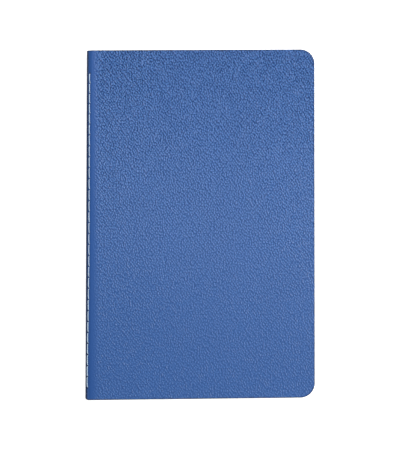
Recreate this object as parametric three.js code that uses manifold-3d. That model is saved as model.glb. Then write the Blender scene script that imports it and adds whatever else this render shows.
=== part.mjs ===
// A thread-sewn notebook, lying closed on its back cover, in millimetres.
// +X points to the fore-edge, +Y to the head and +Z up through the front cover.
// The origin is the middle of the notebook's box, on the surface that it lies on.
// Folded sheets nest inside one flexible cover, and one line of lockstitch holds them all.
// The seam lies on the rounded spine, a little towards the front cover.
// Every sheet, and the cover, is one folded piece. Each is parted at the seam here,
// so that its front half can turn about the stitches.

import * as THREE from "three";
import { mergeVertices } from "three/addons/utils/BufferGeometryUtils.js";
import Module from "manifold-3d";

const wasm = await Module();
wasm.setup();

// Driving dimensions
const bookWidth = 141.5; // spine crest to fore-edge, closed
const bookHeight = 215.9; // head to tail
const cornerRadius = 9; // the two rounded corners at the fore-edge
const coverThickness = 0.8;
const sheetCount = 20; // folded sheets, two leaves each
const leafThickness = 0.1;
const leafGap = 0.01; // air between leaves where the stitches press them together
const foldRoom = 0.3; // half the height of the hollow inside the innermost fold
const looseGap = 0.04; // air between the two innermost leaves, away from the fold
const pressedWidth = 12; // how far from the fold the innermost hollow closes
const spineStretch = 1.1; // how much deeper the rounded spine is than a half circle
const seamInset = 1.8; // spine crest to the stitches, seen from above
const slitWidth = 0.6; // the parting at the seam, which the thread passes through
const threadDiameter = 0.5;
const threadRise = 0.12; // how far the middle of a stitch stands out of the cover
const hingeRise = 0.6; // cover's surface to the line that the front half turns about
const bobbinDiameter = 0.4;
const legClearance = 0.05; // needle thread's legs to the bobbin thread
const headMargin = 14.4; // head to the first needle hole
const headStitch = 6.3; // length of each of the first stitches
const headStitches = 5;
const tailStitch = 6.77; // length of each of the others
const tailStitches = 24;
const holeGap = 1.1; // how much of each stitch's length the needle holes take
const bobbinTail = 3; // bobbin thread past the last needle hole at each end

// Facets
const arcStep = 10; // degrees along the rounded spine, a share of 90
const cornerSteps = 8;
const threadSides = 6;
const stitchSteps = 5;
const trim = 2; // how far a blank stands past the outline that trims it

const leafPitch = leafThickness + leafGap;
const blockHalf = foldRoom + sheetCount * leafPitch; // fold centre to the cover's inside
const coverHalf = blockHalf + coverThickness; // fold centre to the cover's outside
const loosePitch = (blockHalf - looseGap / 2) / sheetCount;
const spineReach = spineStretch * coverHalf; // fold centre to the spine crest
const foldX = spineReach - bookWidth / 2;
const foldZ = coverHalf;
const foreEdge = bookWidth / 2;

// The seam plane runs from the fold centre out through the stitches.
const seamTurn = Math.acos(1 - seamInset / spineReach);
const seamReach = coverHalf * Math.hypot(spineStretch * Math.cos(seamTurn), Math.sin(seamTurn));
const seamAngle = Math.atan2(Math.sin(seamTurn), -spineStretch * Math.cos(seamTurn));
const seamOut = new THREE.Vector2(Math.cos(seamAngle), Math.sin(seamAngle));
const alongSeam = (reach) => new THREE.Vector3(foldX + reach * seamOut.x, 0, foldZ + reach * seamOut.y);
const hinge = alongSeam(seamReach + hingeRise);

const coverMaterial = new THREE.MeshStandardMaterial({ color: 0x41669f, roughness: 0.55, metalness: 0 });
const leafMaterial = new THREE.MeshStandardMaterial({ color: 0xf3eedf, roughness: 0.9, metalness: 0 });
const threadMaterial = new THREE.MeshStandardMaterial({ color: 0xc3d8ee, roughness: 0.6, metalness: 0 });

// A closed three.js geometry as a solid that can be cut and joined.
function solid(geometry) {
  const bare = geometry.clone();
  for (const name of Object.keys(bare.attributes)) {
    if (name !== "position") bare.deleteAttribute(name);
  }
  const merged = mergeVertices(bare, 1e-5);
  return new wasm.Manifold(
    new wasm.Mesh({
      numProp: 3,
      vertProperties: new Float32Array(merged.attributes.position.array),
      triVerts: new Uint32Array(merged.index.array),
    }),
  );
}

function geometryOf(made) {
  const mesh = made.getMesh();
  const geometry = new THREE.BufferGeometry();
  geometry.setAttribute("position", new THREE.BufferAttribute(mesh.vertProperties, 3));
  geometry.setIndex(new THREE.BufferAttribute(mesh.triVerts, 1));
  geometry.computeVertexNormals();
  return geometry;
}

// A section drawn in x and z, drawn out along Y from one end of the notebook past the other.
function alongSpine(points) {
  const length = bookHeight + 2 * trim;
  const geometry = new THREE.ExtrudeGeometry(new THREE.Shape(points), { depth: length, bevelEnabled: false });
  return geometry.rotateX(Math.PI / 2).translate(0, length / 2, 0);
}

// The outline that trims cover and sheets together, with two rounded corners.
function trimmedOutline() {
  const x = bookWidth / 2;
  const y = bookHeight / 2;
  const shape = new THREE.Shape();
  shape.moveTo(-x - trim, -y);
  shape.lineTo(x - cornerRadius, -y);
  shape.absarc(x - cornerRadius, -y + cornerRadius, cornerRadius, -Math.PI / 2, 0);
  shape.absarc(x - cornerRadius, y - cornerRadius, cornerRadius, 0, Math.PI / 2);
  shape.lineTo(-x - trim, y);
  const depth = 2 * coverHalf + 2 * trim;
  const geometry = new THREE.ExtrudeGeometry(shape, { depth, bevelEnabled: false, curveSegments: cornerSteps / 2 });
  return solid(geometry.translate(0, 0, -trim));
}

const outline = trimmedOutline();

// The space that one half keeps clear of: all that lies past its own face of the slit.
// side is 1 for the front half and -1 for the back half.
function pastSlit(side) {
  const long = seamReach + 2 * trim;
  const thick = 4 * coverHalf;
  const geometry = new THREE.BoxGeometry(long, bookHeight + 4 * trim, thick);
  geometry.translate(long / 2, 0, side * (thick / 2 - slitWidth / 2));
  geometry.rotateY(-seamAngle); // its length now runs out along the seam plane
  return solid(geometry.translate(foldX, 0, foldZ));
}

const pastFrontSlit = pastSlit(1);
const pastBackSlit = pastSlit(-1);

// Half of one folded layer. middle and looseMiddle are the half heights of its middle surface,
// at the fold and away from it.
function foldedHalf(middle, looseMiddle, thickness, side) {
  const step = THREE.MathUtils.degToRad(arcStep);
  const first = side > 0 ? Math.floor(seamTurn / step) : -Math.round(Math.PI / 2 / step);
  const last = side > 0 ? Math.round(Math.PI / 2 / step) : Math.ceil(seamTurn / step);
  const face = (offset) => {
    const points = [];
    for (let i = first; i <= last; i++) {
      const turn = i * step;
      const normal = new THREE.Vector2(-Math.cos(turn) / spineStretch, Math.sin(turn)).normalize();
      points.push(
        new THREE.Vector2(
          foldX - middle * spineStretch * Math.cos(turn) + offset * normal.x,
          foldZ + middle * Math.sin(turn) + offset * normal.y,
        ),
      );
    }
    const plate = [
      new THREE.Vector2(foldX + pressedWidth, foldZ + side * (looseMiddle + offset)),
      new THREE.Vector2(foreEdge + trim, foldZ + side * (looseMiddle + offset)),
    ];
    return side > 0 ? [...points, ...plate] : [...plate.reverse(), ...points];
  };
  const outer = face(thickness / 2);
  const inner = face(-thickness / 2);
  const blank = solid(alongSpine([...outer, ...inner.reverse()]));
  return blank.subtract(side > 0 ? pastFrontSlit : pastBackSlit).intersect(outline);
}

function leafHalf(number, side) {
  const fromInside = sheetCount - number;
  const middle = foldRoom + leafThickness / 2 + fromInside * leafPitch;
  const looseMiddle = looseGap / 2 + leafThickness / 2 + fromInside * loosePitch;
  return foldedHalf(middle, looseMiddle, leafThickness, side);
}

function coverHalfPiece(side) {
  const middle = blockHalf + coverThickness / 2;
  return foldedHalf(middle, middle, coverThickness, side);
}

// Needle holes, from the head down.
function needleHoles() {
  const holes = [bookHeight / 2 - headMargin];
  for (let i = 0; i < headStitches + tailStitches; i++) {
    holes.push(holes[i] - (i < headStitches ? headStitch : tailStitch));
  }
  return holes;
}

// A round bar between two points.
function bar(from, to, radius) {
  const along = to.clone().sub(from);
  const geometry = new THREE.CylinderGeometry(radius, radius, along.length(), threadSides);
  geometry.applyQuaternion(
    new THREE.Quaternion().setFromUnitVectors(new THREE.Vector3(0, 1, 0), along.clone().normalize()),
  );
  const middle = from.clone().add(to).multiplyScalar(0.5);
  return solid(geometry.translate(middle.x, middle.y, middle.z));
}

// One stitch on the outside of the cover: a thread that rises out of one needle hole
// and goes down the next.
function outerStitch(from, to) {
  const top = alongSeam(seamReach + threadRise);
  const low = alongSeam(seamReach - threadDiameter / 2);
  const path = new THREE.CatmullRomCurve3(
    [
      new THREE.Vector3(low.x, from, low.z),
      new THREE.Vector3(top.x, from - holeGap / 2, top.z),
      new THREE.Vector3(top.x, to + holeGap / 2, top.z),
      new THREE.Vector3(low.x, to, low.z),
    ],
    false,
    "catmullrom",
    0.25,
  );
  const section = new THREE.Shape();
  section.absarc(0, 0, threadDiameter / 2, 0, 2 * Math.PI);
  return solid(
    new THREE.ExtrudeGeometry(section, { steps: stitchSteps, extrudePath: path, curveSegments: threadSides / 2 }),
  );
}

function needleThread() {
  const holes = needleHoles();
  const legTop = alongSeam(seamReach - threadDiameter / 4);
  const legFoot = alongSeam(bobbinDiameter / 2 + legClearance);
  let thread = null;
  holes.forEach((y, i) => {
    const leg = bar(
      new THREE.Vector3(legFoot.x, y, legFoot.z),
      new THREE.Vector3(legTop.x, y, legTop.z),
      threadDiameter / 2,
    );
    thread = thread ? thread.add(leg) : leg;
    if (i > 0) thread = thread.add(outerStitch(holes[i - 1], y));
  });
  return thread;
}

function bobbinThread() {
  const holes = needleHoles();
  return bar(
    new THREE.Vector3(foldX, holes[0] + bobbinTail, foldZ),
    new THREE.Vector3(foldX, holes[holes.length - 1] - bobbinTail, foldZ),
    bobbinDiameter / 2,
  );
}

// A named mesh in a group, with its geometry drawn from the group's own place.
function addPiece(group, name, made, material) {
  const mesh = new THREE.Mesh(geometryOf(made), material);
  mesh.name = name;
  mesh.geometry.translate(-group.position.x, -group.position.y, -group.position.z);
  group.add(mesh);
}

const notebook = new THREE.Group();
const sewnHalf = new THREE.Group(); // lies on the surface: back cover, back leaves and stitches
const turningHalf = new THREE.Group(); // turns about the hinge line: front cover and front leaves
turningHalf.position.copy(hinge);
notebook.add(sewnHalf, turningHalf);

addPiece(sewnHalf, "cover_back", coverHalfPiece(-1), coverMaterial);
addPiece(turningHalf, "cover_front", coverHalfPiece(1), coverMaterial);
for (let number = 1; number <= sheetCount; number++) {
  const name = "sheet_" + String(number).padStart(2, "0");
  addPiece(sewnHalf, name + "_back", leafHalf(number, -1), leafMaterial);
  addPiece(turningHalf, name + "_front", leafHalf(number, 1), leafMaterial);
}
addPiece(sewnHalf, "needle_thread", needleThread(), threadMaterial);
addPiece(sewnHalf, "bobbin_thread", bobbinThread(), threadMaterial);

export default notebook;
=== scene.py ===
import math
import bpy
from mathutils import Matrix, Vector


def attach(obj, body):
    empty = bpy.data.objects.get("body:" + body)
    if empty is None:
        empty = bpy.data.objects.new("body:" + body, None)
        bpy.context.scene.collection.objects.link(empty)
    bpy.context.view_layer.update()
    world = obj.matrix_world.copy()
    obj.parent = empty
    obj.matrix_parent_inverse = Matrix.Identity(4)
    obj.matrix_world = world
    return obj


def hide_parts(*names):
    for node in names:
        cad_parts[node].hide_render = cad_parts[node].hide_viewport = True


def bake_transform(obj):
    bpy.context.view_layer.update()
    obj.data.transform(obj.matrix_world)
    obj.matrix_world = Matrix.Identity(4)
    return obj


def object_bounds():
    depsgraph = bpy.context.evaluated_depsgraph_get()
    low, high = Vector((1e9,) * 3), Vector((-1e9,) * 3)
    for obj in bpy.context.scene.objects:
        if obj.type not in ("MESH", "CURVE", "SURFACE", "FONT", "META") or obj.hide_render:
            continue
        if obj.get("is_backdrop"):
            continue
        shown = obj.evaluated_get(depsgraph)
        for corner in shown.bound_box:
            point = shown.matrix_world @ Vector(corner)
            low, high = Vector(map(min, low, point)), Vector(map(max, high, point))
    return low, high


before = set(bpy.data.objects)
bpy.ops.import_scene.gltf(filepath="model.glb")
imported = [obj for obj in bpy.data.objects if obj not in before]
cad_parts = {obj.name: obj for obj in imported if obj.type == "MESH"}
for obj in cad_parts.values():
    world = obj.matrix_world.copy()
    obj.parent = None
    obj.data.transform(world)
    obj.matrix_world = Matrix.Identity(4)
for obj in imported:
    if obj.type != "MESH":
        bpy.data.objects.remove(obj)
cadLow, cadHigh = (list(corner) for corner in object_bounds())

import bpy
import numpy as np
from mathutils import Vector

mm = 0.001

# What cover, sheets and threads share, as in the frame
trim = {
    "cornerRadius": 9 * mm,  # at the fore-edge
    "cornerSteps": 14,
    "heelRadius": 2.2 * mm,  # where spine and tail meet
    "heelBlend": 7 * mm,  # how far up the tail the mesh gives way to it
    "outOfSquare": 0.011,  # slope of head and tail against the spine
    "fixedWidth": 20 * mm,  # the strip beside the fold that no corner reaches
    "closest": 0.03 * mm,  # between two rows of a mesh
    "sharpAngle": 50,  # degrees, where shading breaks
}
seam = {
    "inset": 1.8 * mm,  # crest to stitches, seen from above
    "lean": 0.1 * mm,  # how much farther from the crest the needle went
    "drift": 0.73 * mm,  # how much nearer to the crest the seam ends at the tail
    "driftStart": 15 * mm, "driftLength": 90 * mm,  # from the middle of the height towards the tail
    "headMargin": 14.4 * mm,
    "headStitch": 6.3 * mm, "headStitches": 5,
    "tailStitch": 6.77 * mm, "tailStitches": 24,
}
stretch = 1.1  # depth of the rounded spine against a half circle
pressedWidth = 12 * mm  # beside the fold, where the leaves lie together again
coverThickness = 0.8 * mm
leafThickness = 0.1 * mm
sheetTotal = sum(1 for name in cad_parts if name.startswith("sheet_")) // 2

height = cadHigh[1] - cadLow[1]
half = (cadHigh[2] - cadLow[2]) / 2
coverMiddle = half - coverThickness / 2
foldX = cadLow[0] + stretch * coverMiddle + coverThickness / 2
foldZ = cadLow[2] + half
spineReach = stretch * half
seamTurn = math.acos(1 - seam["inset"] / spineReach)
print("frame read:", sheetTotal, "sheets,", round(2 * half / mm, 2), "mm thick")


# Camera and studio
camera = {
    "place": (-0.03649, -0.03981, 1.00269),
    "turn": (2.2743, -2.0792, 0.0961),  # degrees about X, Y and Z
    "focalPixels": 1615,
    "pictureHeight": 450,
    "sensorHeight": 24,
    "clipEnd": 20,
}
studio = {
    "floorSize": 20.0,
    "floorColour": (0.93, 0.93, 0.925, 1),
    "floorRoughness": 0.9, "floorGloss": 0.1,
    "floorGlow": 0.8,  # a light table, so that no shadow greys the floor
    "skyStrength": 0.2,
    "keyPlace": (1.4, 0.1, 1.1), "keySize": 0.4, "keyPower": 18.5,
    "fillPlace": (0.1, 0.85, 0.92), "fillSize": 0.4, "fillPower": 7.5,
    "sidePlace": (-1.3, -0.3, 0.8), "sideSize": 0.6, "sidePower": 1.6,
}


def addCamera():
    data = bpy.data.cameras.new("camera")
    holder = bpy.data.objects.new("camera", data)
    bpy.context.scene.collection.objects.link(holder)
    data.sensor_fit = "VERTICAL"
    data.sensor_height = camera["sensorHeight"]
    data.lens = camera["focalPixels"] * data.sensor_height / camera["pictureHeight"]
    data.clip_end = camera["clipEnd"]
    holder.location = camera["place"]
    holder.rotation_euler = [math.radians(a) for a in camera["turn"]]
    bpy.context.scene.camera = holder


def softLight(kind):
    data = bpy.data.lights.new(kind + "Light", "AREA")
    data.size = studio[kind + "Size"]
    data.energy = studio[kind + "Power"]
    holder = bpy.data.objects.new(kind + "Light", data)
    holder.location = studio[kind + "Place"]
    holder.rotation_euler = (-Vector(studio[kind + "Place"])).to_track_quat("-Z", "Y").to_euler()
    bpy.context.scene.collection.objects.link(holder)


def addStudio():
    world = bpy.data.worlds.new("studio")
    world.use_nodes = True
    sky = world.node_tree.nodes["Background"].inputs
    sky["Color"].default_value = (1, 1, 1, 1)
    sky["Strength"].default_value = studio["skyStrength"]
    bpy.context.scene.world = world
    for kind in ("key", "fill", "side"):
        softLight(kind)
    bpy.ops.mesh.primitive_plane_add(size=studio["floorSize"], location=(0, 0, cadLow[2]))
    floor = bpy.context.object
    floor.name = "floor"
    paint = bpy.data.materials.new("floor")
    paint.use_nodes = True
    surface = paint.node_tree.nodes["Principled BSDF"].inputs
    surface["Base Color"].default_value = studio["floorColour"]
    surface["Roughness"].default_value = studio["floorRoughness"]
    surface["Specular IOR Level"].default_value = studio["floorGloss"]
    surface["Emission Color"].default_value = (1, 1, 1, 1)
    surface["Emission Strength"].default_value = studio["floorGlow"]
    floor.data.materials.append(paint)
    floor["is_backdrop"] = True
    bpy.context.scene.view_settings.view_transform = "Standard"


addCamera()
addStudio()
print("camera and studio ready")


def smooth(t):  # from 0 to 1 without a kink
    t = np.clip(t, 0, 1)
    return t * t * (3 - 2 * t)


# The trimmed outline, which cover and sheets share
def foreEdgeAt(y):
    r = trim["cornerRadius"]
    over = np.clip(np.abs(y) - (height / 2 - r), 0, r)
    return cadHigh[0] - r + np.sqrt(np.maximum(r * r - over * over, 0))


def tailPull(x, y):  # the small rounded corner where spine and tail meet
    r = trim["heelRadius"]
    over = np.clip(cadLow[0] + r - x, 0, r)
    lift = r - np.sqrt(np.maximum(r * r - over * over, 0))
    reach = trim["heelBlend"]
    return y + lift * np.clip((reach - (y + height / 2)) / reach, 0, 1)


def edgeDistance(x, y):  # from the nearest trimmed edge
    r = trim["cornerRadius"]
    cornerX, cornerY = cadHigh[0] - r, height / 2 - r
    straight = np.minimum(height / 2 - np.abs(y), cadHigh[0] - x)
    inCorner = (x > cornerX) & (np.abs(y) > cornerY)
    return np.where(inCorner, r - np.hypot(x - cornerX, np.abs(y) - cornerY), straight)


# The seam, which cover and threads share
def seamTurnAt(y):  # nearer to the crest towards the tail
    drift = seam["drift"] * smooth((-y - seam["driftStart"]) / seam["driftLength"])
    return np.arccos(1 - (seam["inset"] + seam["lean"] - drift) / spineReach)


def needleHoles():
    places = [height / 2 - seam["headMargin"]]
    for i in range(seam["headStitches"] + seam["tailStitches"]):
        step = seam["headStitch"] if i < seam["headStitches"] else seam["tailStitch"]
        places.append(places[-1] - step)
    return np.array(places)


holes = needleHoles()


# One folded layer: columns run from the back fore-edge round the spine to the front fore-edge
def layerColumns(middle, loose, turns, plates):
    turnRad = np.radians(turns)
    arcX = foldX - middle * stretch * np.cos(turnRad)
    arcZ = middle * np.sin(turnRad)
    arcNormal = np.stack([-np.cos(turnRad) / stretch, np.sin(turnRad)], 1)
    arcNormal /= np.linalg.norm(arcNormal, axis=1)[:, None]
    plateX = foldX + plates
    plateZ = middle + (loose - middle) * np.clip(plates / pressedWidth, 0, 1)
    up = np.tile([0.0, 1.0], (len(plates), 1))
    x = np.concatenate([plateX[::-1], arcX, plateX])
    z = np.concatenate([-plateZ[::-1], arcZ, plateZ])
    normal = np.concatenate([-up, arcNormal, up])
    along = np.concatenate([[0], np.cumsum(np.hypot(np.diff(x), np.diff(z)))])
    allTurns = np.concatenate([np.full(len(plates), -90.0), turns, np.full(len(plates), 90.0)])
    first = len(plates)
    seamAlong = np.interp(math.degrees(seamTurn), turns, along[first:first + len(turns)])
    return {"x": x, "z": z + foldZ, "normal": normal, "along": along - seamAlong, "turns": allTurns}


def endRows(fine):  # rows that follow the rounded corners, finest at the very ends
    r = trim["cornerRadius"]
    angles = np.radians(np.linspace(0, 90, trim["cornerSteps"] + 1))
    down = np.concatenate([r - r * np.sin(angles), fine])
    return np.concatenate([height / 2 - down, down - height / 2])


def spacedRows(rows, widest):  # none too close together, none farther apart than the widest
    kept = [float(min(rows))]
    for y in sorted(float(v) for v in rows):
        if y - kept[-1] > trim["closest"]:
            kept.append(y)
    filled = [kept[0]]
    for y in kept[1:]:
        parts = max(1, math.ceil((y - filled[-1]) / widest))
        filled += list(np.linspace(filled[-1], y, parts + 1)[1:])
    return np.array(filled)


def addAttribute(mesh, name, values):  # one number or one vector for each point
    kind, field = ("FLOAT", "value") if values.ndim == 1 else ("FLOAT_VECTOR", "vector")
    made = mesh.attributes.new(name, kind, "POINT")
    made.data.foreach_set(field, values.astype(np.float32).ravel())


def addMesh(name, points, quads, place, sharpAngle):
    mesh = bpy.data.meshes.new(name)
    mesh.from_pydata(points.tolist(), [], quads)
    mesh.polygons.foreach_set("use_smooth", np.ones(len(quads), bool))
    addAttribute(mesh, "place", place)
    mesh.set_sharp_from_angle(angle=math.radians(sharpAngle))
    mesh.update()
    piece = bpy.data.objects.new(name, mesh)
    bpy.context.scene.collection.objects.link(piece)
    return piece


# A closed shell of two faces and a rim; its points also know their place on the sheet laid flat
def foldedMesh(name, columns, rows, layerThickness, rounding, relief=None):
    x, y = np.meshgrid(columns["x"], rows, indexing="ij")
    start = foldX + trim["fixedWidth"]
    share = (x - start) / (cadHigh[0] - start)
    x = np.where(x > start, start + share * (foreEdgeAt(y) - start), x)  # drawn in at the corners
    along = columns["along"][:, None] + np.sign(columns["turns"])[:, None] * (x - columns["x"][:, None])
    fromEdge = edgeDistance(x, y)
    z = np.repeat(columns["z"][:, None], len(rows), 1)
    y = np.where(x < start, tailPull(x, y), y)
    y = y + trim["outOfSquare"] * (x - foldX)
    near = np.clip(rounding - fromEdge, 0, rounding)
    drop = rounding - np.sqrt(np.maximum(rounding * rounding - near * near, 0))  # at rounded edges
    normal = columns["normal"]
    faces = []
    for side in (1, -1):
        offset = side * (layerThickness / 2 - drop)
        if side == 1 and relief is not None:
            offset = offset + relief(along, y)
        faces.append(np.stack([x + normal[:, :1] * offset, y, z + normal[:, 1:] * offset], 2))
    points = np.concatenate([f.reshape(-1, 3) for f in faces])
    grid = np.arange(x.size).reshape(x.shape)
    inner = grid + x.size
    outside = np.stack([grid[:-1, :-1], grid[:-1, 1:], grid[1:, 1:], grid[1:, :-1]], 2).reshape(-1, 4)
    inside = np.stack([inner[:-1, :-1], inner[1:, :-1], inner[1:, 1:], inner[:-1, 1:]], 2).reshape(-1, 4)
    loop = np.concatenate([grid[:-1, 0], grid[-1, :-1], grid[:0:-1, -1], grid[0, :0:-1]])
    after = np.roll(loop, -1)
    rim = np.stack([loop, after, after + x.size, loop + x.size], 1)
    quads = np.concatenate([outside, inside, rim])
    place = np.stack([np.tile(along.ravel(), 2), np.tile(y.ravel(), 2), np.zeros(len(points))], 1)
    piece = addMesh(name, points, quads.tolist(), place, trim["sharpAngle"])
    slots = np.repeat([0, 1, 2], [len(outside), len(inside), len(rim)])
    piece.data.polygons.foreach_set("material_index", slots.astype(np.int32))
    addAttribute(piece.data, "fromEdge", np.tile(fromEdge.ravel(), 2))
    return piece, place, points


def bendAtSeam(piece, place, points):
    # laid flat while the object's transform is baked into the mesh, then put back in its folded shape
    piece.data.vertices.foreach_set("co", place.ravel())
    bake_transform(piece)
    piece.data.vertices.foreach_set("co", points.ravel())
    piece.data.update()


# Shader helpers
def addNode(tree, kind, inputs=(), **settings):
    made = tree.nodes.new("ShaderNode" + kind)
    for key, value in settings.items():
        setattr(made, key, value)
    for key, value in dict(inputs).items():
        if isinstance(value, bpy.types.NodeSocket):
            tree.links.new(value, made.inputs[key])
        else:
            made.inputs[key].default_value = value
    return made


def calc(tree, operation, *values):
    return addNode(tree, "Math", dict(enumerate(values)), operation=operation).outputs[0]


def vectorCalc(tree, operation, first, second):
    return addNode(tree, "VectorMath", {0: first, 1: second}, operation=operation).outputs[0]


def timesValue(tree, vector, value):  # also for colours
    return addNode(tree, "VectorMath", {0: vector, "Scale": value}, operation="SCALE").outputs[0]


def inUnits(tree, place, unit):
    return timesValue(tree, place, calc(tree, "DIVIDE", 1.0, unit))


def lessBy(tree, mask, depth):  # 1 where the mask is 0, and down by the depth where it is 1
    return calc(tree, "SUBTRACT", 1.0, calc(tree, "MULTIPLY", mask, depth))


def addUp(tree, total, *parts):  # each part is a value and its share
    for value, share in parts:
        total = calc(tree, "ADD", total, calc(tree, "MULTIPLY", value, share))
    return total


def remap(tree, value, fromLow, fromHigh, toLow=0.0, toHigh=1.0, soft=True):
    made = addNode(tree, "MapRange", {
        "Value": value, "From Min": fromLow, "From Max": fromHigh, "To Min": toLow, "To Max": toHigh,
    }, interpolation_type="SMOOTHSTEP" if soft else "LINEAR")
    return made.outputs["Result"]


def mixValues(tree, share, first, second):
    return addNode(tree, "Mix", {0: share, 2: first, 3: second}).outputs[0]


def mixColours(tree, share, first, second):
    return addNode(tree, "Mix", {0: share, 6: first, 7: second}, data_type="RGBA").outputs[2]


def noise(tree, place, scale, detail, roughness=0.55, output="Fac"):
    made = addNode(tree, "TexNoise", {
        "Vector": place, "Scale": scale, "Detail": detail, "Roughness": roughness,
    })
    return made.outputs[output]


def attribute(tree, name, output="Vector"):
    return addNode(tree, "Attribute", attribute_name=name).outputs[output]


def plainColour(tree, colour):
    made = addNode(tree, "RGB")
    made.outputs[0].default_value = colour
    return made.outputs[0]


def bump(tree, surface, relief, depth):
    made = addNode(tree, "Bump", {"Height": relief, "Distance": depth, "Strength": 1.0})
    tree.links.new(made.outputs[0], surface["Normal"])


def newGroup(name, inputs, outputs):
    tree = bpy.data.node_groups.new(name, "ShaderNodeTree")
    for label, kind, value in inputs:
        socket = tree.interface.new_socket(name=label, in_out="INPUT", socket_type="NodeSocket" + kind)
        if value is not None:
            socket.default_value = value
    for label in outputs:
        tree.interface.new_socket(name=label, in_out="OUTPUT", socket_type="NodeSocketFloat")
    entry = tree.nodes.new("NodeGroupInput")
    leave = tree.nodes.new("NodeGroupOutput")
    return tree, entry.outputs, leave.inputs


def useGroup(tree, group, inputs):
    return addNode(tree, "Group", inputs, node_tree=group).outputs


def newMaterial(name):
    material = bpy.data.materials.new(name)
    material.use_nodes = True
    tree = material.node_tree
    return material, tree, tree.nodes["Principled BSDF"].inputs


# Shared effects, with what stays the same in every material that uses them
effects = {
    "grainSquash": (1.1, 0.85, 1.0),  # across, along and through: pebbles longer than wide
    "driftScale": 0.35, "driftDetail": 2.0, "driftRoughness": 0.6, "driftReach": 4.0,
    "rippleScale": 0.8, "fineRippleScale": 1.2, "rippleFrequency": 1.3,
    "cellTurn": 0.785, "cellScale": 1.24, "cellRandomness": 0.7,
    "ripples": (0.28, 0.66), "domes": (0.12, 0.64),  # where each starts and ends
    "paintedGapShade": (0.0, 0.26), "creases": (0.3, 0.5),
    "mottleDetail": 4.0,
    "edgeScale": 400.0, "edgeDetail": 2.0, "edgePatches": (0.3, 0.7),
    "edgeUneven": (0.6, 1.4),  # least and most of the reach
    "fibreDraw": (1.0, 0.18, 1.0), "fibreDetail": 2.0,
}


def buildPebbleGrain():
    tree, given, out = newGroup("pebbleGrain", [
        ("Place", "Vector", None), ("Pitch", "Float", 2 * mm), ("Drawn Out", "Float", 0.5),
        ("Wander", "Float", 0.07), ("Fine Share", "Float", 0.5), ("Cell Share", "Float", 0.5),
        ("Gap Shade Share", "Float", 0.45),
    ], ["Height", "Painted Light And Shade", "Crease"])
    longer = vectorCalc(tree, "MULTIPLY", given["Place"], effects["grainSquash"])
    scaled = inUnits(tree, longer, given["Pitch"])
    drift = noise(tree, scaled, effects["driftScale"], effects["driftDetail"],
                  effects["driftRoughness"], "Color")
    centred = vectorCalc(tree, "SUBTRACT", drift, (0.5, 0.5, 0.5))
    wander = timesValue(tree, centred, calc(tree, "MULTIPLY", given["Wander"], effects["driftReach"]))
    warped = vectorCalc(tree, "ADD", scaled, wander)
    # ripples of an even pitch, some of them drawn out lengthwise, and pebbles with painted shade in the gaps
    # between them
    ripple = {"Vector": warped, "Frequency": effects["rippleFrequency"], "Orientation": 0.0}
    coarse, fine = [
        addNode(tree, "TexGabor", {**ripple, "Scale": scale, "Anisotropy": drawnOut}, gabor_type="2D")
        for scale, drawnOut in (
            (effects["rippleScale"], given["Drawn Out"]), (effects["fineRippleScale"], 0.0))]
    both = mixValues(tree, given["Fine Share"], coarse.outputs["Value"], fine.outputs["Value"])
    turned = addNode(tree, "VectorRotate", {
        "Vector": warped, "Angle": effects["cellTurn"],
    }, rotation_type="Z_AXIS").outputs[0]
    cells = {"Vector": turned, "Scale": effects["cellScale"], "Randomness": effects["cellRandomness"]}
    centres, borders = [
        addNode(tree, "TexVoronoi", cells, feature=kind, voronoi_dimensions="2D").outputs["Distance"]
        for kind in ("F1", "DISTANCE_TO_EDGE")]
    domes = remap(tree, centres, *effects["domes"], 1.0, 0.0)
    tops = mixValues(tree, given["Cell Share"], remap(tree, both, *effects["ripples"]), domes)
    tree.links.new(tops, out["Height"])
    # painted shade in the gaps between pebbles, taken off the painted highlight of the tops
    paintedGapShade = calc(tree, "MULTIPLY", remap(tree, borders, *effects["paintedGapShade"], 1.0, 0.0), given["Gap Shade Share"])
    tree.links.new(calc(tree, "SUBTRACT", tops, paintedGapShade), out["Painted Light And Shade"])
    tree.links.new(remap(tree, both, *effects["creases"], 1.0, 0.0), out["Crease"])
    return tree


def buildMottle():
    tree, given, out = newGroup("softMottle", [
        ("Place", "Vector", None), ("Patch", "Float", 30 * mm), ("Strength", "Float", 0.1),
    ], ["Value"])
    patches = noise(tree, inUnits(tree, given["Place"], given["Patch"]), 1.0, effects["mottleDetail"])
    spread = calc(tree, "MULTIPLY", calc(tree, "SUBTRACT", patches, 0.5), 2.0)  # from -1 to 1
    tree.links.new(calc(tree, "ADD", 1.0, calc(tree, "MULTIPLY", spread, given["Strength"])), out["Value"])
    return tree


def buildEdgeShade():
    tree, given, out = newGroup("edgeShade", [
        ("From Edge", "Float", 10 * mm), ("Place", "Vector", None),
        ("Reach", "Float", 0.6 * mm), ("Depth", "Float", 0.3),
    ], ["Shade"])
    patches = noise(tree, given["Place"], effects["edgeScale"], effects["edgeDetail"])
    uneven = remap(tree, patches, *effects["edgePatches"], *effects["edgeUneven"])
    reach = calc(tree, "MULTIPLY", given["Reach"], uneven)
    mask = remap(tree, calc(tree, "DIVIDE", given["From Edge"], reach), 0.0, 1.0, 1.0, 0.0)
    tree.links.new(lessBy(tree, mask, given["Depth"]), out["Shade"])
    return tree


def buildTwist():
    tree, given, out = newGroup("fibreTwist", [
        ("Place", "Vector", None), ("Fibre", "Float", 0.05 * mm), ("Depth", "Float", 0.3),
    ], ["Height", "Shade"])
    drawn = vectorCalc(tree, "MULTIPLY", given["Place"], effects["fibreDraw"])
    strands = noise(tree, inUnits(tree, drawn, given["Fibre"]), 1.0, effects["fibreDetail"])
    tree.links.new(strands, out["Height"])
    tree.links.new(lessBy(tree, strands, given["Depth"]), out["Shade"])
    return tree


pebbleGrain = buildPebbleGrain()
softMottle = buildMottle()
edgeShade = buildEdgeShade()
fibreTwist = buildTwist()
print("shared shader groups ready")


def mottled(tree, place, piece):
    return useGroup(tree, softMottle, {
        "Place": place, "Patch": piece["mottlePatch"], "Strength": piece["mottleStrength"],
    })["Value"]


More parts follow.
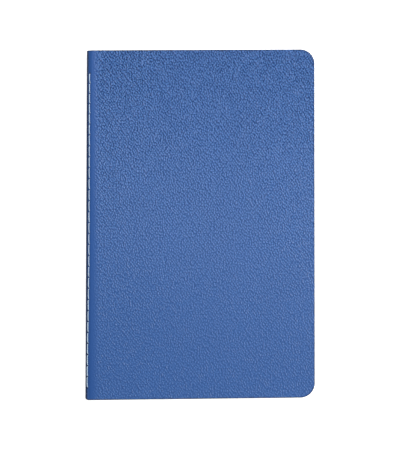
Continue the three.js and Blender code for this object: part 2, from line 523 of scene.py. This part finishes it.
def shadedEdge(tree, place, piece):
    return useGroup(tree, edgeShade, {
        "From Edge": attribute(tree, "fromEdge", "Fac"), "Place": place,
        "Reach": piece["edgeReach"], "Depth": piece["edgeDepth"],
    })["Shade"]


# Cover
cover = {
    "rounding": 0.25 * mm,  # of its trimmed edges
    "bendZone": (0.3 * mm, 1.5 * mm),  # past the seam
    "valleyDepth": 0.10 * mm, "valleyWidth": 0.55 * mm,  # where the thread draws the cover in
    "valleyFade": 1 * mm,  # past the first and last hole
    "holeDepth": 0.45 * mm, "holeWidth": 0.3 * mm, "holeLength": 0.5 * mm,
    # painted shade down in the needle holes
    "holePaintedShade": 0.85,
    "swell": 0.05 * mm,  # a soft unevenness of the whole face
    "swellAcross": (61, 1.3), "swellAlong": (43, 0.4),  # radians per metre, and where they start
    "swellFrom": 6 * mm, "swellFade": 10 * mm,  # from the seam
    # the leather's blue with a painted highlight for pebble tops, and with painted shade for creases
    "pebbleColourWithHighlight": (0.068, 0.193, 0.52, 1), "creaseColourWithShade": (0.001, 0.046, 0.235, 1),
    "smoothColour": (0.014, 0.092, 0.345, 1),  # beside the seam
    "tone": 0.9, "toneMiddle": 0.13,  # how far the grain's tone, painted highlight on the pebble tops and painted shade in the creases, moves the colour, and from where
    "pitch": 1.8 * mm, "wander": 0.07, "fineShare": 0.5, "cellShare": 0.5, "gapShadeShare": 0.45,
    "drawnOut": (0.6, 0.25), "grainShare": (0.48, 2.0),  # at tail and head
    "grainGrowth": 2.0,  # above 1 the grain stays calm for longer from the tail
    "grainHeight": 0.47 * mm,
    "smoothBand": (1.0 * mm, 7.0 * mm),  # from the seam, where the grain fades in
    "poreScale": 9000.0, "poreDetail": 2.0, "poreHeight": 0.02,  # a share of the grain's height
    "roughness": 0.43, "gloss": 0.6,
    "poreRoughness": 0.12, "smoothRoughness": 0.08,  # added by the pores and beside the seam
    "creaseRoughness": 0.12, "spineRoughness": 0.5,  # added in creases and on the spine
    "spineNear": (-1.1 * mm, -0.35 * mm), "spineFar": (-9 * mm, -6 * mm),  # from the seam over the crest
    "spinePaintedShadeDepth": 0.76,  # how much darker the painted shade makes the strip between them
    "mottlePatch": 35 * mm, "mottleStrength": 0.05,
    # painted shade along the trimmed edges
    "edgeReach": 0.9 * mm, "edgeDepth": 0.75,
}
lining = {
    "colour": (0.035, 0.075, 0.17, 1), "roughness": 0.85,
    "weaveScale": 420.0, "weaveDistortion": 1.5, "weaveDetail": 2.0, "weaveHeight": 0.03 * mm,
    "weaveDark": 0.85, "weaveContrast": 0.3,
    "mottlePatch": 4 * mm, "mottleStrength": 0.18,
}
cutEdge = {
    "colour": (0.012, 0.028, 0.075, 1), "roughness": 0.8,
    "mottlePatch": 1.2 * mm, "mottleStrength": 0.35,
}

# The cover's mesh is finer round the seam, at the fore-edge and at each hole
coverTurns = np.concatenate([np.arange(-90, 24, 6.0), np.arange(24, 90.1, 2.0)])
coverPlates = np.concatenate([
    [0.3, 0.7, 1.2, 2, 3, 4.2, 5.6, 7.2, 9.2, 12, 16, 20], np.linspace(24, 132, 28),
    (cadHigh[0] - foldX) / mm - np.array([3, 1.6, 0.8, 0.4, 0.25, 0.18, 0.12, 0.07, 0.03, 0.0]),
]) * mm
coverEnds = np.array([0, 0.03, 0.07, 0.12, 0.18, 0.25, 0.4, 0.8, 1.5]) * mm
holeRows = np.array([-0.75, -0.45, -0.25, -0.1, 0.1, 0.25, 0.45, 0.75]) * mm
coverRowGap = 3.2 * mm
coverColumns = layerColumns(coverMiddle, coverMiddle, coverTurns, coverPlates)
coverArc = coverColumns["along"][len(coverPlates):len(coverPlates) + len(coverTurns)]


def fromSeam(along, y):
    return along - np.interp(np.degrees(seamTurnAt(y)), coverTurns, coverArc)


def piercedAt(off, y):  # 1 in the middle of each slot that the needle left
    nearest = np.min(np.abs(y[..., None] - holes), axis=-1)
    return np.exp(-((off / cover["holeWidth"]) ** 2) - (nearest / cover["holeLength"]) ** 4)


def coverRelief(along, y):
    off = fromSeam(along, y)
    fade = cover["valleyFade"]
    sewn = smooth((holes[0] + fade - y) / fade) * smooth((y - holes[-1] + fade) / fade)
    valley = cover["valleyDepth"] * np.exp(-((off / cover["valleyWidth"]) ** 2)) * sewn
    (across, acrossStart), (lengthwise, lengthwiseStart) = cover["swellAcross"], cover["swellAlong"]
    swell = cover["swell"] * np.sin(along * across + acrossStart) * np.sin(y * lengthwise + lengthwiseStart)
    swell = swell * smooth((along - cover["swellFrom"]) / cover["swellFade"])
    return -valley - cover["holeDepth"] * piercedAt(off, y) + swell


def buildLeather():
    material, tree, surface = newMaterial("coverLeather")
    place = attribute(tree, "place")
    across, lengthwise, _ = addNode(tree, "SeparateXYZ", {0: place}).outputs
    drawnOut = remap(tree, lengthwise, -height / 2, height / 2, *cover["drawnOut"], soft=False)
    grain = useGroup(tree, pebbleGrain, {
        "Place": place, "Pitch": cover["pitch"], "Drawn Out": drawnOut, "Wander": cover["wander"],
        "Fine Share": cover["fineShare"], "Cell Share": cover["cellShare"],
        "Gap Shade Share": cover["gapShadeShare"],
    })
    grained = remap(tree, calc(tree, "ABSOLUTE", across), *cover["smoothBand"])
    towardsHead = remap(tree, lengthwise, -height / 2, height / 2, soft=False)
    grown = calc(tree, "POWER", towardsHead, cover["grainGrowth"])
    amount = calc(tree, "MULTIPLY", grained, remap(tree, grown, 0.0, 1.0, *cover["grainShare"], soft=False))
    crease = calc(tree, "MULTIPLY", grain["Crease"], amount)

    # the grain's relief painted into the colour: painted highlight on the pebble tops, painted shade in the
    # creases
    tone = calc(tree, "SUBTRACT", grain["Painted Light And Shade"], cover["toneMiddle"])
    tone = calc(tree, "MULTIPLY", tone, calc(tree, "MULTIPLY", amount, cover["tone"]))
    grainWithPaintedLight = mixColours(tree, calc(tree, "ADD", tone, 0.5), cover["creaseColourWithShade"], cover["pebbleColourWithHighlight"])
    colour = mixColours(tree, grained, cover["smoothColour"], grainWithPaintedLight)
    # painted shade: darker on the strip over the spine's crest, and darkest down in the needle holes
    onSpine = calc(tree, "MULTIPLY", remap(tree, across, *cover["spineNear"], 1.0, 0.0),
                   remap(tree, across, *cover["spineFar"]))
    spinePaintedShade = lessBy(tree, onSpine, cover["spinePaintedShadeDepth"])
    # painted shade down in the needle holes
    holePaintedShade = lessBy(tree, attribute(tree, "pierced", "Fac"), cover["holePaintedShade"])
    shade = calc(tree, "MULTIPLY", spinePaintedShade, holePaintedShade)
    shade = calc(tree, "MULTIPLY", mottled(tree, place, cover), shade)
    # painted shade along the trimmed edges
    shade = calc(tree, "MULTIPLY", shade, shadedEdge(tree, place, cover))
    tree.links.new(timesValue(tree, colour, shade), surface["Base Color"])

    pores = noise(tree, place, cover["poreScale"], cover["poreDetail"])
    rough = addUp(
        tree, cover["roughness"] - cover["poreRoughness"] / 2, (pores, cover["poreRoughness"]),
        (calc(tree, "SUBTRACT", 1.0, grained), cover["smoothRoughness"]),
        (crease, cover["creaseRoughness"]), (onSpine, cover["spineRoughness"]))
    tree.links.new(rough, surface["Roughness"])
    surface["Specular IOR Level"].default_value = cover["gloss"]
    relief = addUp(tree, calc(tree, "MULTIPLY", grain["Height"], amount), (pores, cover["poreHeight"]))
    bump(tree, surface, relief, cover["grainHeight"])
    return material


def buildLining():
    material, tree, surface = newMaterial("coverLining")
    place = attribute(tree, "place")
    weave = addNode(tree, "TexWave", {
        "Vector": place, "Scale": lining["weaveScale"], "Distortion": lining["weaveDistortion"],
        "Detail": lining["weaveDetail"],
    }, bands_direction="DIAGONAL").outputs["Fac"]
    shade = calc(tree, "MULTIPLY", mottled(tree, place, lining),
                 addUp(tree, lining["weaveDark"], (weave, lining["weaveContrast"])))
    tree.links.new(timesValue(tree, plainColour(tree, lining["colour"]), shade), surface["Base Color"])
    surface["Roughness"].default_value = lining["roughness"]
    bump(tree, surface, weave, lining["weaveHeight"])
    return material


def buildCutEdge():
    material, tree, surface = newMaterial("coverCutEdge")
    shade = mottled(tree, attribute(tree, "place"), cutEdge)
    tree.links.new(timesValue(tree, plainColour(tree, cutEdge["colour"]), shade), surface["Base Color"])
    surface["Roughness"].default_value = cutEdge["roughness"]
    return material


def buildCover():
    byHoles = (holes[:, None] + holeRows).ravel()
    rows = spacedRows(np.concatenate([endRows(coverEnds), byHoles]), coverRowGap)
    piece, place, points = foldedMesh(
        "cover", coverColumns, rows, coverThickness, cover["rounding"], coverRelief)
    addAttribute(piece.data, "pierced", piercedAt(fromSeam(place[:, 0], place[:, 1]), place[:, 1]))
    for material in (buildLeather(), buildLining(), buildCutEdge()):
        piece.data.materials.append(material)
    bendAtSeam(piece, place, points)
    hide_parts("cover_front", "cover_back")
    print("cover built:", len(points), "points")


buildCover()


# Sheets
paper = {
    "foldRoom": 0.3 * mm,  # inside the innermost fold
    "leafGap": 0.01 * mm,  # at the fold
    "looseGap": 0.04 * mm, "loosePitch": 0.124 * mm,  # where the leaves lie flat
    "bendZone": (0.3 * mm, 2.1 * mm),  # past the seam
    "colour": (0.80, 0.75, 0.63, 1), "paleColour": (0.87, 0.83, 0.72, 1),
    "roughness": 0.88, "gloss": 0.3,
    "fibreScale": 2600.0, "fibreDetail": 4.0, "fibreRoughness": 0.7, "fibreRange": (0.3, 0.7),
    "fibreHeight": 0.012 * mm,
    "mottlePatch": 6 * mm, "mottleStrength": 0.06,
    "edgeReach": 0.8 * mm, "edgeDepth": 0.08,
    "trimSpread": 0.05 * mm,  # how unevenly the knife left the leaves
    "trimScatter": (12.9898, 4.1),  # spreads it over the sheets, the same in each run
    "trimBand": 0.3 * mm,  # of the fore-edge that moves with it
}

sheetTurns = np.unique(np.append(np.linspace(-90, 90, 13), math.degrees(seamTurn)))
sheetPlates = np.concatenate([
    np.arange(0.18, 2.7, 0.18), [3.2, 4, 5.2, 7, 9.2, 12, 20],
    np.linspace(32, 128, 9), (cadHigh[0] - foldX) / mm - np.array([2, 0.4, 0]),
]) * mm
sheetRows = spacedRows(endRows(np.array([0, 0.4, 2]) * mm), 16 * mm)


def buildPaper():
    material, tree, surface = newMaterial("ivoryPaper")
    place = attribute(tree, "place")
    fibres = noise(tree, place, paper["fibreScale"], paper["fibreDetail"], paper["fibreRoughness"])
    colour = mixColours(tree, remap(tree, fibres, *paper["fibreRange"]), paper["colour"], paper["paleColour"])
    shade = calc(tree, "MULTIPLY", mottled(tree, place, paper), shadedEdge(tree, place, paper))
    tree.links.new(timesValue(tree, colour, shade), surface["Base Color"])
    surface["Roughness"].default_value = paper["roughness"]
    surface["Specular IOR Level"].default_value = paper["gloss"]
    bump(tree, surface, fibres, paper["fibreHeight"])
    return material


def buildSheet(number, material):  # 1 is the outermost
    fromInside = sheetTotal - number
    middle = paper["foldRoom"] + leafThickness / 2 + fromInside * (leafThickness + paper["leafGap"])
    loose = paper["looseGap"] / 2 + leafThickness / 2 + fromInside * paper["loosePitch"]
    columns = layerColumns(middle, loose, sheetTurns, sheetPlates)
    scatter, start = paper["trimScatter"]
    shorter = abs(paper["trimSpread"] * math.sin(number * scatter + start))
    columns["x"][columns["x"] > cadHigh[0] - paper["trimBand"]] -= shorter
    piece, place, points = foldedMesh("sheet%02d" % number, columns, sheetRows, leafThickness, 0.0)
    for _ in range(3):  # front, back and rim alike
        piece.data.materials.append(material)
    node = "sheet_%02d" % number
    bendAtSeam(piece, place, points)
    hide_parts(node + "_front", node + "_back")


paperMaterial = buildPaper()
for number in range(1, sheetTotal + 1):
    buildSheet(number, paperMaterial)
print("sheets built:", sheetTotal)


# Threads
stitching = {
    "radius": 0.26 * mm, "rise": 0.10 * mm,  # of the thread's middle above the cover
    "legApart": 0.42 * mm,  # between a hole's middle and the leg in it
    "legFoot": 0.3 * mm,  # between the leg's end and the middle of the fold
    "legKnots": (0.5, 0.14),  # shares of the way in, between foot and cover
    "overShares": (0.095, 0.15, 0.3, 0.5, 0.7, 0.85, 0.905),  # of a stitch, from its head end
    "overRises": (-0.5, 0.1, 0.25, 0.3, 0.25, 0.1, -0.5),  # in thread radii
    "slant": 0.10 * mm, "hook": 0.16 * mm,  # towards the front at each lower end
    "hookStart": 0.74, "hookLength": 0.2,
    "twist": 1.9 * mm, "plies": 3, "sides": 7, "step": 0.16 * mm,
    "between": 16,  # points from knot to knot before the even walk
    "sharpAngle": 60,
    "bobbinRadius": 0.2 * mm, "bobbinTail": 3 * mm, "bobbinKnots": 60,
    "colour": (0.72, 0.88, 1.0, 1), "shadeColour": (0.52, 0.71, 0.97, 1),
    "fibre": 0.05 * mm, "fibreDepth": 0.35, "fibreHeight": 0.03 * mm,
    "mottlePatch": 4 * mm, "mottleStrength": 0.08,
    "roughness": 0.6, "sheen": 0.15,
}


def smoothPath(knots):  # an even walk along a smooth curve through the knots
    knots = np.asarray(knots, float)
    padded = np.concatenate([[2 * knots[0] - knots[1]], knots, [2 * knots[-1] - knots[-2]]])
    t = np.linspace(0, 1, stitching["between"], endpoint=False)[:, None]
    pieces = []
    for a, b, c, d in zip(padded, padded[1:], padded[2:], padded[3:]):
        pieces.append(0.5 * (2 * b + (c - a) * t + (2 * a - 5 * b + 4 * c - d) * t ** 2
                             + (3 * b - a - 3 * c + d) * t ** 3))
    dense = np.concatenate(pieces + [knots[-1:]])
    walked = np.concatenate([[0], np.cumsum(np.linalg.norm(np.diff(dense, axis=0), axis=1))])
    even = np.linspace(0, walked[-1], max(4, int(walked[-1] / stitching["step"])))
    return np.stack([np.interp(even, walked, dense[:, i]) for i in range(3)], 1), even


def plyTubes(path, walked, radius, start):  # strands twisted round the path: points, quads, places
    plies, sides = stitching["plies"], stitching["sides"]
    strand = radius / (1 + 1 / math.sin(math.pi / plies))  # so that each touches the next
    away = radius - strand
    tangent = np.gradient(path, axis=0)
    tangent /= np.linalg.norm(tangent, axis=1)[:, None]
    normal = np.zeros_like(path)
    carried = np.cross(tangent[0], [0.3, 0.2, 0.9])
    for i, t in enumerate(tangent):  # carried along without twisting
        carried = carried - t * carried.dot(t)
        carried /= np.linalg.norm(carried)
        normal[i] = carried
    binormal = np.cross(tangent, normal)
    around = 2 * math.pi * np.arange(sides) / sides
    ring = np.cos(around)[None, :, None] * normal[:, None] + np.sin(around)[None, :, None] * binormal[:, None]
    along = np.repeat(walked, sides)
    points, quads, places = [], [], []
    for ply in range(plies):
        phase = 2 * math.pi * (walked / stitching["twist"] + ply / plies)
        core = path + away * (np.cos(phase)[:, None] * normal + np.sin(phase)[:, None] * binormal)
        points.append((core[:, None] + strand * ring).reshape(-1, 3))
        across = np.tile(around * strand, len(path)) + ply * mm  # other fibres on each strand
        places.append(np.stack([across, along, np.zeros(len(along))], 1))
        grid = start + ply * len(along) + np.arange(len(along)).reshape(len(path), sides)
        beside = np.roll(grid, -1, axis=1)
        quads += np.stack([grid[:-1], beside[:-1], beside[1:], grid[1:]], 2).reshape(-1, 4).tolist()
        quads += [grid[0, ::-1].tolist(), grid[-1].tolist()]
    return np.concatenate(points), quads, np.concatenate(places)


def buildThread(name, paths, radius, material, node):
    points, quads, places, count = [], [], [], 0
    for knots in paths:
        path, walked = smoothPath(knots)
        made, faces, place = plyTubes(path, walked, radius, count)
        points.append(made)
        places.append(place)
        quads += faces
        count += len(made)
    piece = addMesh(name, np.concatenate(points), quads, np.concatenate(places), stitching["sharpAngle"])
    piece.data.materials.append(material)
    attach(piece, "root")
    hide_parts(node)


def onCover(y, rise, shift=0.0):  # a point above the seam, shifted towards the front
    turn = float(seamTurnAt(np.array(y))) + shift / half
    normal = np.array([-math.cos(turn) / stretch, math.sin(turn)])
    normal /= np.linalg.norm(normal)
    offset = coverThickness / 2 + rise
    x = foldX - coverMiddle * stretch * math.cos(turn) + offset * normal[0]
    z = foldZ + coverMiddle * math.sin(turn) + offset * normal[1]
    return np.array([x, y, z])


def legKnots(y):  # from the fold out to the cover
    out = onCover(y, 0)
    inward = np.array([foldX, y, foldZ]) - out
    foot = out + inward * (1 - stitching["legFoot"] / np.linalg.norm(inward))
    return [foot] + [out + inward * share for share in stitching["legKnots"]]


def stitchKnots(top, low):
    s = stitching
    share = np.array(s["overShares"])
    rise = s["rise"] + s["radius"] * np.array(s["overRises"])
    shift = s["slant"] * (share - 0.5) + s["hook"] * smooth((share - s["hookStart"]) / s["hookLength"])
    over = [onCover(top - u * (top - low), r, d) for u, r, d in zip(share, rise, shift)]
    return legKnots(top - s["legApart"]) + over + legKnots(low + s["legApart"])[::-1]


def buildThreadMaterial():
    material, tree, surface = newMaterial("sewingThread")
    place = attribute(tree, "place")
    fibres = useGroup(tree, fibreTwist, {
        "Place": place, "Fibre": stitching["fibre"], "Depth": stitching["fibreDepth"],
    })
    colour = mixColours(tree, fibres["Shade"], stitching["shadeColour"], stitching["colour"])
    tree.links.new(timesValue(tree, colour, mottled(tree, place, stitching)), surface["Base Color"])
    surface["Roughness"].default_value = stitching["roughness"]
    surface["Sheen Weight"].default_value = stitching["sheen"]
    bump(tree, surface, fibres["Height"], stitching["fibreHeight"])
    return material


threadMaterial = buildThreadMaterial()
stitches = [stitchKnots(top, low) for top, low in zip(holes, holes[1:])]
buildThread("needleThread", stitches, stitching["radius"], threadMaterial, "needle_thread")
bobbinReach = np.linspace(
    holes[0] + stitching["bobbinTail"], holes[-1] - stitching["bobbinTail"], stitching["bobbinKnots"])
bobbinLine = [np.array([foldX, y, foldZ]) for y in bobbinReach]
buildThread("bobbinThread", [bobbinLine], stitching["bobbinRadius"], threadMaterial, "bobbin_thread")
print("threads built:", len(stitches), "stitches")
